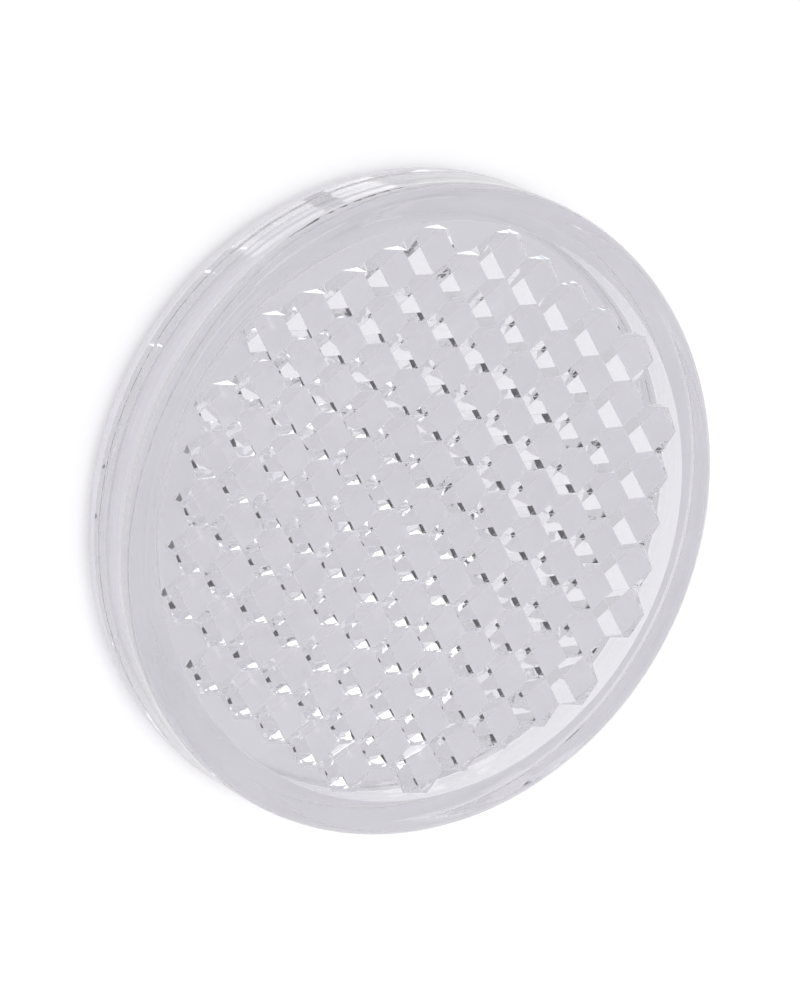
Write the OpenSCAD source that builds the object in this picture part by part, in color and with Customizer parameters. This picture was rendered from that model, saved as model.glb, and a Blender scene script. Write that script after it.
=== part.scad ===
// Round corner-cube reflector, 60 mm across: a clear moulded cup with a field of
// hexagonal corner-cube pins inside, welded to a stepped back cover that closes it and
// keeps air behind the pins, with an adhesive pad and its peel-off liner on the back.
// It lies on its back: the optical face looks along +Z, and the origin is at the
// centre of the lowest face. All sizes are in millimetres.

/* [Whole reflector] */
// Diameter of the lens and of the back cover's flange
body_d = 60; // [58:0.5:66]
// Height from the back cover's rear face to the optical face
body_h = 8.4; // [7.8:0.1:10]
// Radius of the rounded shoulder round the optical face
shoulder_r = 1.6; // [0.8:0.1:2.4]

/* [Lens] */
// Thickness of the clear plate in front of the pins
plate_t = 1.1; // [1:0.1:2]
// Thickness of the lens wall, which is solid clear plastic
lens_wall_t = 3.3; // [2.8:0.1:3.5]
// Width of the weld bead where it leaves the end of the wall
bead_w = 0.6; // [0.4:0.1:0.8]
// Width of the bead's flattened tip, which is fused to the back cover
bead_tip = 0.1; // [0.05:0.05:0.2]
// Gap between the wall and the back cover, which the bead bridges
weld_gap = 0.15; // [0.1:0.05:0.25]

/* [Corner-cube pins] */
// Distance between the centres of neighbouring pins
pin_pitch = 4.3; // [4:0.05:5.5]
// Clear gap between the outermost pins and the lens wall
pin_clear = 0.3; // [0.2:0.1:1]
// Height of the straight column between the plate and a pin's facets
pin_base = 0.1; // [0.05:0.05:0.4]
// Length of each pin's column that lies inside the plate
pin_root = 0.3; // [0.1:0.1:0.6]

/* [Back cover] */
// Thickness of the flange that the lens is welded to
flange_t = 1.5; // [1.4:0.1:1.8]
// Height of the raised middle, which centres the lens, above the flange
step_h = 0.7; // [0.5:0.1:1]
// Width of the lead-in bevel on the raised middle
step_bevel = 0.3; // [0.1:0.1:0.4]
// Radial gap between the raised middle and the lens wall
step_gap = 0.15; // [0.1:0.05:0.25]
// Radius of the rounded rear edge
rear_edge_r = 1; // [0.6:0.1:1.1]
// Width of the bevel on each side of the seam
seam_bevel = 0.15; // [0.05:0.05:0.25]

/* [Adhesive back] */
// Diameter of the adhesive pad
pad_d = 50; // [44:0.5:51]
// Thickness of the adhesive pad
pad_t = 0.8; // [0.6:0.1:1.2]
// Depth of the shallow seat for the pad in the cover's rear face
pad_seat = 0.3; // [0.1:0.1:0.4]
// Gap round the pad in its seat
pad_gap = 0.4; // [0.2:0.1:0.8]
// Thickness of the peel-off liner
liner_t = 0.15; // [0.1:0.05:0.3]
// Width of the liner's finger tab
tab_w = 12; // [8:0.5:16]
// Length by which the tab stands past the pad
tab_l = 4; // [2:0.5:4.5]

/* [Hidden] */
$fn = 96;

body_r = body_d / 2;
pad_r = pad_d / 2;
seat_r = pad_r + pad_gap;

// Heights above the surface that the reflector lies on
pad_z = liner_t;
rear_z = pad_z + pad_t - pad_seat;
flange_z = rear_z + flange_t;
wall_z = flange_z + weld_gap;
front_z = rear_z + body_h;
plate_z = front_z - plate_t;

// Radii of the joint between the two mouldings
lens_in_r = body_r - lens_wall_t;
bead_r = body_r - lens_wall_t / 2;
step_r = lens_in_r - step_gap;

// A pin is a hexagonal column that ends in the corner of a cube. Seen along the
// cube's diagonal, the outline is a hexagon one pitch across its flats. That fixes
// the cube's edge, and the heights of the outline's corners: three of them, the far
// ends of the edges that leave the tip, are a third of the diagonal above it, and
// the other three are two thirds above it.
cube_edge = pin_pitch / sqrt(2);
cube_diagonal = cube_edge * sqrt(3);
valley_z = plate_z - pin_base;
tip_z = valley_z - cube_diagonal * 2 / 3;
ridge_z = tip_z + cube_diagonal / 3;
root_z = plate_z + pin_root;

// Every centre and corner lies on a grid with steps of half a pitch along X and a
// sixth of the hexagon's long diagonal along Y, so a place is a pair of whole
// numbers, and neighbouring pins share their corners exactly.
step_x = pin_pitch / 2;
step_y = pin_pitch / (2 * sqrt(3));
CORNERS = [[1, 1], [0, 2], [-1, 1], [-1, -1], [0, -2], [1, -1]];
function place(g) = [g[0] * step_x, g[1] * step_y];
function next(k) = (k + 1) % 6;
function neighbour(pin, k) = pin + CORNERS[k] + CORNERS[next(k)];

// A pin is kept where its whole hexagon stays clear of the lens wall
function reach(pin) = max([for (c = CORNERS) norm(place(pin + c))]);
function kept(pin) = reach(pin) <= lens_in_r - pin_clear;
rows = ceil(lens_in_r / (3 * step_y));
cols = ceil(lens_in_r / pin_pitch);
PINS = [for (row = [-rows:rows], col = [-cols:cols])
    let (pin = [2 * col + abs(row % 2), 3 * row])
    if (kept(pin)) pin];

// Points of one pin: its tip, the six corners of its facets, then the same six
// corners up inside the plate
function pin_points(pin) = let (low = [for (c = CORNERS) place(pin + c)]) concat(
    [[place(pin)[0], place(pin)[1], tip_z]],
    [for (k = [0:5]) [low[k][0], low[k][1], k % 2 == 0 ? valley_z : ridge_z]],
    [for (k = [0:5]) [low[k][0], low[k][1], root_z]]);

// Faces of one pin, whose points start at n: three square facets, the top, and a
// wall on each side that has no neighbour
function pin_faces(pin, n) = concat(
    [for (k = [0:2:4]) [n, n + 1 + (k + 5) % 6, n + 1 + k, n + 1 + next(k)]],
    [[for (k = [5:-1:0]) n + 7 + k]],
    [for (k = [0:5]) if (!kept(neighbour(pin, k)))
        [n + 1 + k, n + 7 + k, n + 7 + next(k), n + 1 + next(k)]]);

// A disc as wide as the reflector, of height h, with its lower edge rounded
module rounded_disc(h, edge_r) {
    rotate_extrude() intersection() {
        square([body_r, h]);
        union() {
            square([body_r - edge_r, h]);
            translate([0, edge_r]) square([body_r, h]);
            translate([body_r - edge_r, edge_r]) circle(edge_r);
        }
    }
}

// Cuts a bevel all round a cylinder's edge: up for a top edge, down for a bottom one
module edge_bevel(r, z, w, up) {
    translate([0, 0, z]) mirror([0, 0, up ? 0 : 1]) rotate_extrude()
        polygon([[r - w, 0], [r + 1, 0], [r + 1, -w - 1], [r, -w]]);
}

// All the corner-cube pins, tips down, as one closed shape
module pin_field() {
    polyhedron(
        points = [for (pin = PINS) each pin_points(pin)],
        faces = [for (i = [0:len(PINS) - 1]) each pin_faces(PINS[i], 13 * i)]);
}

module front_lens() {
    color([0.86, 0.87, 0.9, 0.6]) union() {
        lens_shell();
        pin_field();
    }
}

// The lens without its pins: a cup with a rounded shoulder and a weld bead at its end
module lens_shell() {
    difference() {
        translate([0, 0, front_z]) mirror([0, 0, 1]) rounded_disc(front_z - wall_z, shoulder_r);
        translate([0, 0, wall_z - 1]) cylinder(r = lens_in_r, h = plate_z - wall_z + 1);
        edge_bevel(body_r, wall_z, seam_bevel, false);
    }
    weld_bead();
}

// A ring of plastic that ultrasound melts. It tapers to a tip that sits on the cover.
module weld_bead() {
    rotate_extrude() translate([bead_r, 0]) polygon([
        [-bead_tip / 2, flange_z], [bead_tip / 2, flange_z], [bead_w / 2, wall_z],
        [bead_w / 2, wall_z + weld_gap], [-bead_w / 2, wall_z + weld_gap], [-bead_w / 2, wall_z]]);
}

module back_cover() {
    color([0.8, 0.8, 0.83]) difference() {
        union() {
            translate([0, 0, rear_z]) rounded_disc(flange_t, rear_edge_r);
            raised_middle();
        }
        translate([0, 0, rear_z - 1]) cylinder(r = seat_r, h = pad_seat + 1);
        edge_bevel(body_r, flange_z, seam_bevel, true);
    }
}

// The raised middle starts halfway down the flange, so that the two are one solid
module raised_middle() {
    difference() {
        translate([0, 0, flange_z - flange_t / 2]) cylinder(r = step_r, h = flange_t / 2 + step_h);
        edge_bevel(step_r, flange_z + step_h, step_bevel, true);
    }
}

module adhesive_pad() {
    color([0.93, 0.93, 0.9]) translate([0, 0, pad_z]) cylinder(r = pad_r, h = pad_t);
}

// The liner is cut as large as the pad, with a rounded tab to pull it off by
module release_liner() {
    color([0.85, 0.75, 0.5]) linear_extrude(liner_t) {
        circle(pad_r);
        translate([-tab_w / 2, -pad_r - tab_l + tab_w / 2]) square([tab_w, pad_r]);
        translate([0, -pad_r - tab_l + tab_w / 2]) circle(tab_w / 2);
    }
}

front_lens();
back_cover();
adhesive_pad();
release_liner();
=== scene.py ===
# %% [markdown]
# # A round corner-cube reflector
#
# The object is a clear acrylic cup, 60 mm across, that lies face up on an off-white back
# cover. Behind its flat face stand 121 hexagonal pins, and each one ends in the corner
# of a cube. Surveyors stick such a disc on a wall or a post as a target. The packed
# model already holds the real geometry, so this lesson is about the surfaces, and about
# seeing through clear plastic: what it bends, what it mirrors, and what the studio has
# to contain before the pins sparkle.

# %% Load the fixed frame
import math

import bpy
import bmesh
from mathutils import Matrix, Vector


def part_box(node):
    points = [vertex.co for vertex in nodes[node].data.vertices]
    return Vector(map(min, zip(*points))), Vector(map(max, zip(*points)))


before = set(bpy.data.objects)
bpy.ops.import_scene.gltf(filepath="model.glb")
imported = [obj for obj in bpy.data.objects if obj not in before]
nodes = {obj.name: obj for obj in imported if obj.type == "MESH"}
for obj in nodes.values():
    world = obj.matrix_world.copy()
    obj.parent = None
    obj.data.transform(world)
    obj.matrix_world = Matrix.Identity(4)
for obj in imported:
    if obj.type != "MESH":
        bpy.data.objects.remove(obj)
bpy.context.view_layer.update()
MM = 0.001

for name in sorted(nodes):
    low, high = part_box(name)
    print(name, "from", [round(v / MM, 2) for v in low], "to", [round(v / MM, 2) for v in high])

# %% [markdown]
# ## The camera
#
# The photograph was taken from about 60 cm away with a long lens. The line of sight is
# 33 degrees off the square view of the face, and the picture is turned so that the
# near part of the rim is at the left. The camera's axes could be typed as three Euler
# angles, but they are easier to reason about when they are built from the disc's own:
# `away` lies in the disc's plane and points away from the camera, `across` lies in the
# plane too, and +Z is the face's normal. Distances are written in the photograph's
# pixels, so that they can be compared with it directly, and turned to metres at the end.

# %% Place the camera
LENS_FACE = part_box("front_lens")[1][2]
LENS_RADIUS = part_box("front_lens")[1][0]
TILT = math.radians(33.3)       # the line of sight, off the face's normal
ROLL = math.radians(27.1)       # the picture, turned about the line of sight
ROW_TURN = math.radians(9.04)   # the direction away from the camera, off a row of pins
PHOTO_SIZE_PX = Vector((800, 1000))
PHOTO_RADIUS_PX = 337.7
FACE_CENTRE_PX = Vector((429.2, 515.5))
DISTANCE_PX = 7027
SENSOR_MM = 36
CLIP_NEAR = 0.01
CLIP_FAR = 20

away = Vector((math.cos(ROW_TURN), math.sin(ROW_TURN), 0))
across = Vector((-math.sin(ROW_TURN), math.cos(ROW_TURN), 0))
face_normal = Vector((0, 0, 1))
leaning = math.cos(TILT) * away + math.sin(TILT) * face_normal
towards = math.cos(TILT) * face_normal - math.sin(TILT) * away
right = math.cos(ROLL) * leaning + math.sin(ROLL) * across
up = -math.sin(ROLL) * leaning + math.cos(ROLL) * across

pixel = LENS_RADIUS / PHOTO_RADIUS_PX
offset = FACE_CENTRE_PX - PHOTO_SIZE_PX / 2
stand = Vector((0, 0, LENS_FACE)) + DISTANCE_PX * pixel * towards
stand = stand - offset.x * pixel * right + offset.y * pixel * up
axes = Matrix((right, up, towards)).transposed()

camera_data = bpy.data.cameras.new("camera")
camera_data.sensor_width = SENSOR_MM
camera_data.lens = DISTANCE_PX / PHOTO_SIZE_PX.y * SENSOR_MM
camera_data.clip_start = CLIP_NEAR
camera_data.clip_end = CLIP_FAR
camera = bpy.data.objects.new("camera", camera_data)
camera.matrix_world = Matrix.Translation(stand) @ axes.to_4x4()
bpy.context.scene.collection.objects.link(camera)
bpy.context.scene.camera = camera
print("lens", round(camera_data.lens), "mm, camera", round(stand.length, 2), "m from the disc")

# %% [markdown]
# ## Helpers for materials
#
# Colours are written as sRGB hex, the way a colour picker shows them, and one function
# turns them to the linear values that shaders work with. A second one adds a node, sets
# it up and links it. It takes any kind of node, so the material cells below can say
# what they build without a helper for each kind.

# %% Colour and node helpers
def linear(hex_colour):
    """The linear RGBA of a colour written as #RRGGBB."""
    values = [int(hex_colour[i:i + 2], 16) / 255 for i in (1, 3, 5)]
    return [v / 12.92 if v <= 0.04045 else ((v + 0.055) / 1.055) ** 2.4 for v in values] + [1]


def new_material(name):
    """A new material, with its node tree and its Principled BSDF."""
    material = bpy.data.materials.new(name)
    material.use_nodes = True
    return material, material.node_tree, material.node_tree.nodes["Principled BSDF"]


def add(tree, kind, inputs=(), **settings):
    """Add a node. An input is a value, or the output socket of another node."""
    node = tree.nodes.new(kind)
    for key, value in settings.items():
        setattr(node, key, value)
    for socket, value in dict(inputs).items():
        if isinstance(value, bpy.types.NodeSocket):
            tree.links.new(value, node.inputs[socket])
        else:
            node.inputs[socket].default_value = value
    return node


def finish_node(name, material):
    """Give a CAD node its material. The node's place and shape stay as they are."""
    nodes[name].data.materials.clear()
    nodes[name].data.materials.append(material)
    print(name, "is finished in", material.name)


# %% [markdown]
# ## Clear moulded acrylic
#
# The lens is injection-moulded PMMA from a tool with optically polished faces. Its index
# is 1.49, so a ray that meets a face from inside at more than 42 degrees is reflected
# whole: that is what makes each pin's three facets a mirror without any coating.
#
# The CAD model's edges are perfectly sharp, but no tool is. Small radii could be cut
# into all 121 pins, at the price of thousands of slivers. A Bevel node is the lighter
# way: it only turns the normals near an edge, so light that passes there is thrown to
# one side, as it is by the real radii. A slow noise adds the waviness that shrinking
# plastic leaves in a polished face. Its slopes are only about a tenth of a degree, but
# three reflections and a bend on the way out enlarge them, so each fleck that the pins
# show has a slightly different shape.

# %% Acrylic: index, rounded edges and waviness
PMMA_INDEX = 1.49
EDGE_RADIUS = 0.09 * MM
WAVE_LENGTH = 2 * MM
WAVE_HEIGHT = 0.006 * MM

clear_acrylic, tree, shader = new_material("clear_moulded_acrylic")
shader.inputs["Base Color"].default_value = linear("#FBFBFC")
shader.inputs["Roughness"].default_value = 0.0
shader.inputs["IOR"].default_value = PMMA_INDEX
shader.inputs["Transmission Weight"].default_value = 1.0

place = add(tree, "ShaderNodeTexCoord").outputs["Object"]
edges = add(tree, "ShaderNodeBevel", {"Radius": EDGE_RADIUS}, samples=4)
waves = add(tree, "ShaderNodeTexNoise", {
    "Vector": place, "Scale": 1 / WAVE_LENGTH, "Detail": 1.0})
surface = add(tree, "ShaderNodeBump", {
    "Height": waves.outputs["Fac"], "Distance": WAVE_HEIGHT,
    "Normal": edges.outputs["Normal"]})
tree.links.new(surface.outputs["Normal"], shader.inputs["Normal"])
mirrors_from = math.degrees(math.asin(1 / PMMA_INDEX))
print("acrylic mirrors whole from", round(mirrors_from, 1), "degrees")

# %% [markdown]
# Clear plastic has one more difficulty. A path tracer finds the light on a matt surface
# by shooting rays at the lamps, and such rays can't be bent, so the cover behind the
# lens would render black and grainy. The usual way out is to let the rays that only
# carry light to a matt surface pass straight through the plastic, dimmed a little at
# each face. The rays that the camera sees still bend.

# %% Acrylic: let light through to the cover
rays = add(tree, "ShaderNodeLightPath")
light_rays = add(tree, "ShaderNodeMath", {
    0: rays.outputs["Is Shadow Ray"], 1: rays.outputs["Is Diffuse Ray"]}, operation="MAXIMUM")
straight = add(tree, "ShaderNodeBsdfTransparent", {"Color": linear("#F9F9F9")})
either = add(tree, "ShaderNodeMixShader", {
    0: light_rays.outputs[0], 1: shader.outputs[0], 2: straight.outputs[0]})
tree.links.new(either.outputs[0], tree.nodes["Material Output"].inputs["Surface"])
finish_node("front_lens", clear_acrylic)

# %% [markdown]
# ## Moulded ABS
#
# The cover is ABS, coloured off-white in the mass. Its tool is spark-eroded rather than
# polished, which leaves a fine, even, matt grain, and the pigment flows with the melt,
# so the colour drifts a little over some millimetres. Both are noises on Object
# coordinates: a fine one for the grain, a slow one for the drift.

# %% Cover: colour drift and eroded grain
ABS_INDEX = 1.53
GRAIN = 0.28 * MM           # the real grain is near 0.1 mm, too fine to show
GRAIN_HEIGHT = 0.004 * MM
GRAIN_ROUGHNESS = (0.38, 0.56)
DRIFT = 7 * MM
DRIFT_RANGE = (0.3, 0.7)    # where the slow noise has most of its values

off_white_abs, tree, shader = new_material("off_white_moulded_abs")
place = add(tree, "ShaderNodeTexCoord").outputs["Object"]
drift = add(tree, "ShaderNodeTexNoise", {"Vector": place, "Scale": 1 / DRIFT, "Detail": 3.0})
colours = add(tree, "ShaderNodeValToRGB", {0: drift.outputs["Fac"]})
colours.color_ramp.elements[0].position = DRIFT_RANGE[0]
colours.color_ramp.elements[0].color = linear("#E3E2E6")
colours.color_ramp.elements[1].position = DRIFT_RANGE[1]
colours.color_ramp.elements[1].color = linear("#E9E8EC")
tree.links.new(colours.outputs["Color"], shader.inputs["Base Color"])

grain = add(tree, "ShaderNodeTexNoise", {"Vector": place, "Scale": 1 / GRAIN, "Detail": 4.0})
matt = add(tree, "ShaderNodeMapRange", {
    "Value": grain.outputs["Fac"],
    "To Min": GRAIN_ROUGHNESS[0], "To Max": GRAIN_ROUGHNESS[1]})
relief = add(tree, "ShaderNodeBump", {"Height": grain.outputs["Fac"], "Distance": GRAIN_HEIGHT})
tree.links.new(matt.outputs["Result"], shader.inputs["Roughness"])
tree.links.new(relief.outputs["Normal"], shader.inputs["Normal"])
shader.inputs["IOR"].default_value = ABS_INDEX
finish_node("back_cover", off_white_abs)

# %% [markdown]
# ## Adhesive foam
#
# The pad is closed-cell acrylic foam tape, and only its cut edge and the ring round the
# liner are ever seen. The knife opens cells of 0.1 to 0.3 mm. Voronoi cells have the
# same look: a pit inside each cell and a pale wall between two. The pits are coloured
# darker than the walls, which is painted shade in the hollows.

# %% Pad: cut foam cells
CELL = 0.3 * MM
CELL_DEPTH = 0.05 * MM
WALL_SHARE = 0.25           # how far a wall reaches into its cell

white_foam, tree, shader = new_material("white_closed_cell_foam")
place = add(tree, "ShaderNodeTexCoord").outputs["Object"]
cells = add(tree, "ShaderNodeTexVoronoi", {
    "Vector": place, "Scale": 1 / CELL}, feature="DISTANCE_TO_EDGE")
wall = add(tree, "ShaderNodeMapRange", {
    "Value": cells.outputs["Distance"], "From Max": WALL_SHARE})
# Darker towards each cell's centre: painted shade in the pits, on top of the bump.
foam_pit_shade_colours = add(tree, "ShaderNodeValToRGB", {0: wall.outputs["Result"]})
foam_pit_shade_colours.color_ramp.elements[0].color = linear("#EFEEE9")
foam_pit_shade_colours.color_ramp.elements[1].color = linear("#D5D3CB")
pits = add(tree, "ShaderNodeBump", {
    "Height": wall.outputs["Result"], "Distance": CELL_DEPTH}, invert=True)
tree.links.new(foam_pit_shade_colours.outputs["Color"], shader.inputs["Base Color"])
tree.links.new(pits.outputs["Normal"], shader.inputs["Normal"])
shader.inputs["Roughness"].default_value = 0.92
finish_node("adhesive_pad", white_foam)

# %% [markdown]
# ## Siliconed kraft paper
#
# The peel-off liner is brown kraft paper with a silicone coat, so it has the flecks of
# long wood fibres under a satin film. A noise that is squeezed along one axis draws
# fibres. Two of them, turned against each other, stop them from looking combed.

# %% Liner: fibres under a film
FIBRE_WIDTH = 0.12 * MM     # real fibres are 0.03 mm wide, too fine to show
FIBRE_LENGTH = 1.6 * MM
FIBRE_ANGLES = (12, 74)
FIBRE_RANGE = (0.42, 0.78)  # where the higher of two noises has most of its values
FUZZ_HEIGHT = 0.01 * MM

kraft_paper, tree, shader = new_material("siliconed_kraft_paper")
place = add(tree, "ShaderNodeTexCoord").outputs["Object"]
layers = []
for angle in FIBRE_ANGLES:
    squeezed = add(tree, "ShaderNodeMapping", {
        "Vector": place, "Rotation": (0, 0, math.radians(angle)),
        "Scale": (1 / FIBRE_LENGTH, 1 / FIBRE_WIDTH, 1 / FIBRE_WIDTH)})
    fibres = add(tree, "ShaderNodeTexNoise", {
        "Vector": squeezed.outputs[0], "Scale": 1.0, "Detail": 3.0})
    layers.append(fibres.outputs["Fac"])
felt = add(tree, "ShaderNodeMath", {0: layers[0], 1: layers[1]}, operation="MAXIMUM")
paper_colours = add(tree, "ShaderNodeValToRGB", {0: felt.outputs[0]})
paper_colours.color_ramp.elements[0].position = FIBRE_RANGE[0]
paper_colours.color_ramp.elements[0].color = linear("#D9C595")
paper_colours.color_ramp.elements[1].position = FIBRE_RANGE[1]
paper_colours.color_ramp.elements[1].color = linear("#B2945C")
fuzz = add(tree, "ShaderNodeBump", {"Height": felt.outputs[0], "Distance": FUZZ_HEIGHT})
tree.links.new(paper_colours.outputs["Color"], shader.inputs["Base Color"])
tree.links.new(fuzz.outputs["Normal"], shader.inputs["Normal"])
shader.inputs["Roughness"].default_value = 0.6
shader.inputs["Coat Weight"].default_value = 0.35
shader.inputs["Coat Roughness"].default_value = 0.3
finish_node("release_liner", kraft_paper)

# %% [markdown]
# ## The table
#
# A plain white table.
# In the photograph it is pure white, and whole facets of the pins show it as white too.
# Turning up the lamps until the paper clips would burn out the disc. Instead the paper
# glows a little, but only for the rays that look at it: most for those that come
# straight from the camera, and less for those that a surface has mirrored or bent. It
# lights nothing more, and it keeps the disc's soft shadow.

# %% A white table that glows for the rays that look at it
TABLE_HALF = 3
PAPER_GLOW = 0.17           # what the camera sees
PAPER_GLOW_THROUGH = 0.05   # what shows in the plastic


def looked_at(tree):
    """1 for camera, reflected and refracted rays, and 0 for those that gather light."""
    rays = add(tree, "ShaderNodeLightPath")
    mirrored = add(tree, "ShaderNodeMath", {
        0: rays.outputs["Is Camera Ray"], 1: rays.outputs["Is Glossy Ray"]},
        operation="MAXIMUM")
    bent = add(tree, "ShaderNodeMath", {
        0: mirrored.outputs[0], 1: rays.outputs["Is Transmission Ray"]},
        operation="MAXIMUM")
    return bent.outputs[0]


table_mesh = bpy.data.meshes.new("white_table")
builder = bmesh.new()
bmesh.ops.create_grid(builder, x_segments=1, y_segments=1, size=TABLE_HALF)
builder.to_mesh(table_mesh)
builder.free()
table = bpy.data.objects.new("white_table", table_mesh)
bpy.context.scene.collection.objects.link(table)

paper, tree, shader = new_material("white_studio_paper")
shader.inputs["Base Color"].default_value = linear("#FAFAFA")
shader.inputs["Roughness"].default_value = 0.9
shader.inputs["Emission Color"].default_value = linear("#FFFFFF")
seen = add(tree, "ShaderNodeLightPath").outputs["Is Camera Ray"]
through = add(tree, "ShaderNodeMath", {
    0: looked_at(tree), 1: PAPER_GLOW_THROUGH}, operation="MULTIPLY")
glow = add(tree, "ShaderNodeMath", {
    0: seen, 1: PAPER_GLOW - PAPER_GLOW_THROUGH, 2: through.outputs[0]},
    operation="MULTIPLY_ADD")
tree.links.new(glow.outputs[0], shader.inputs["Emission Strength"])
table_mesh.materials.append(paper)
print("table reaches", TABLE_HALF, "m each way, top at z = 0")

# %% [markdown]
# ## The room
#
# Through the photograph's lens almost every facet looks the same light grey: the disc
# stood in a plain, evenly lit room. Only a few narrow paths through each pin look at one
# region high up on the +Y side, and there the photograph shows white flecks next to
# black ones. Lamps next to something black do that, so this room has a wide black hood
# up there, one lamp in it and another at its upper edge. They could be area lights with
# a frame, but a disc drawn on the sky keeps its size from everywhere, gives no noise,
# and its edge can be as sharp or as soft as wished.
#
# The sky has two levels. The rays that light matt surfaces find it at 1, so that a
# colour renders as it is written. The rays that look at it find the grey walls.

# %% Helpers for the sky
def aim(azimuth, elevation):
    """The unit vector that points at a place on the sky, given in degrees."""
    turn, rise = math.radians(azimuth), math.radians(elevation)
    return Vector((
        math.cos(rise) * math.cos(turn), math.cos(rise) * math.sin(turn), math.sin(rise)))


def sky_disc(tree, direction, centre, radius, edge):
    """1 inside a disc on the sky, falling to 0 over `edge` degrees at its radius."""
    near = add(tree, "ShaderNodeVectorMath", {
        0: direction, 1: centre}, operation="DOT_PRODUCT")
    return add(tree, "ShaderNodeMapRange", {
        "Value": near.outputs["Value"],
        "From Min": math.cos(math.radians(radius + edge / 2)),
        "From Max": math.cos(math.radians(radius - edge / 2))},
        interpolation_type="SMOOTHSTEP").outputs["Result"]


# %% The room and its black hood
LIGHT_LEVEL = 1.0
WALL_LEVEL = 0.69
WALL_TINT = linear("#F9F8FB")[:3]
HOOD_AIM = aim(99, 50)
HOOD_RADIUS = 17
HOOD_EDGE = 2
BLACK_LEFT = 0.03           # what black cloth still sends back

studio = bpy.data.worlds.new("studio")
bpy.context.scene.world = studio
studio.use_nodes = True
tree = studio.node_tree
sky = add(tree, "ShaderNodeTexCoord").outputs["Generated"]
level = add(tree, "ShaderNodeMapRange", {
    "Value": looked_at(tree), "To Min": LIGHT_LEVEL, "To Max": WALL_LEVEL})
hood = sky_disc(tree, sky, HOOD_AIM, HOOD_RADIUS, HOOD_EDGE)
kept = add(tree, "ShaderNodeMapRange", {"Value": hood, "To Min": 1.0, "To Max": BLACK_LEFT})
walls = add(tree, "ShaderNodeMath", {
    0: level.outputs["Result"], 1: kept.outputs["Result"]}, operation="MULTIPLY")
room = add(tree, "ShaderNodeVectorMath", {
    0: WALL_TINT, "Scale": walls.outputs[0]}, operation="SCALE")
print("matt surfaces find a level of", LIGHT_LEVEL, "and plastic shows walls at", WALL_LEVEL)

# %% [markdown]
# Most pins have a narrow slit that looks at the hood between its two lamps, and turns
# black. The small triangles between the facets look at the higher lamp, and turn white.
# A third, weaker lamp hangs almost overhead and lights the rounded shoulder.
#
# The flecks in the photograph are faintly orange, pink or blue, because plastic bends
# blue light a little more than red. Cycles traces one index for all colours. So each
# hooded lamp is drawn three times, once per colour, each a little beside the next:
# where a facet catches the lamp's edge, one colour is missing.

# %% The lamps
# Each lamp's azimuth, elevation and radius in degrees, and its level
HOODED_LAMPS = ((82, 54, 6.5, 1.8), (116, 63, 9, 1.8))
OVERHEAD_LAMP = (110, 83, 7, 1)
HOODED_EDGE = 0.5           # degrees over which a lamp fades out
OVERHEAD_EDGE = 4
PRISM_SPREAD = 0.1          # degrees of azimuth between two of a lamp's colours


def add_lamp(tree, direction, lamp, spread, edge, before):
    """Add one lamp to the light that came before it."""
    azimuth, elevation, radius, strength = lamp
    colours = add(tree, "ShaderNodeCombineXYZ")
    for channel in range(3):
        centre = aim(azimuth + (channel - 1) * spread, elevation)
        tree.links.new(sky_disc(tree, direction, centre, radius, edge), colours.inputs[channel])
    share = strength * math.sin(math.radians(radius)) ** 2
    print("lamp at", (azimuth, elevation), "adds up to", round(share, 3), "to the light level")
    return add(tree, "ShaderNodeVectorMath", {
        0: colours.outputs[0], 1: (strength,) * 3, 2: before},
        operation="MULTIPLY_ADD").outputs[0]


light = room.outputs[0]
for lamp in HOODED_LAMPS:
    light = add_lamp(tree, sky, lamp, PRISM_SPREAD, HOODED_EDGE, light)
light = add_lamp(tree, sky, OVERHEAD_LAMP, 0, OVERHEAD_EDGE, light)
tree.links.new(light, tree.nodes["Background"].inputs["Color"])

# %% [markdown]
# ## Enough bounces
#
# A ray may cross two surfaces, three facets and the wall, then do it all again after
# the cover. With the usual 12 bounces many of them end too early and turn black, so
# the limits go up. The rest is plain: the Standard view, which shows a colour as it is
# written.

# %% Render settings that clear plastic needs
bpy.context.scene.view_settings.view_transform = "Standard"
cycles = bpy.context.scene.cycles
cycles.max_bounces = 40
cycles.transmission_bounces = 40
cycles.glossy_bounces = 32
cycles.diffuse_bounces = 8
cycles.transparent_max_bounces = 64
print("a ray may bounce", cycles.max_bounces, "times")
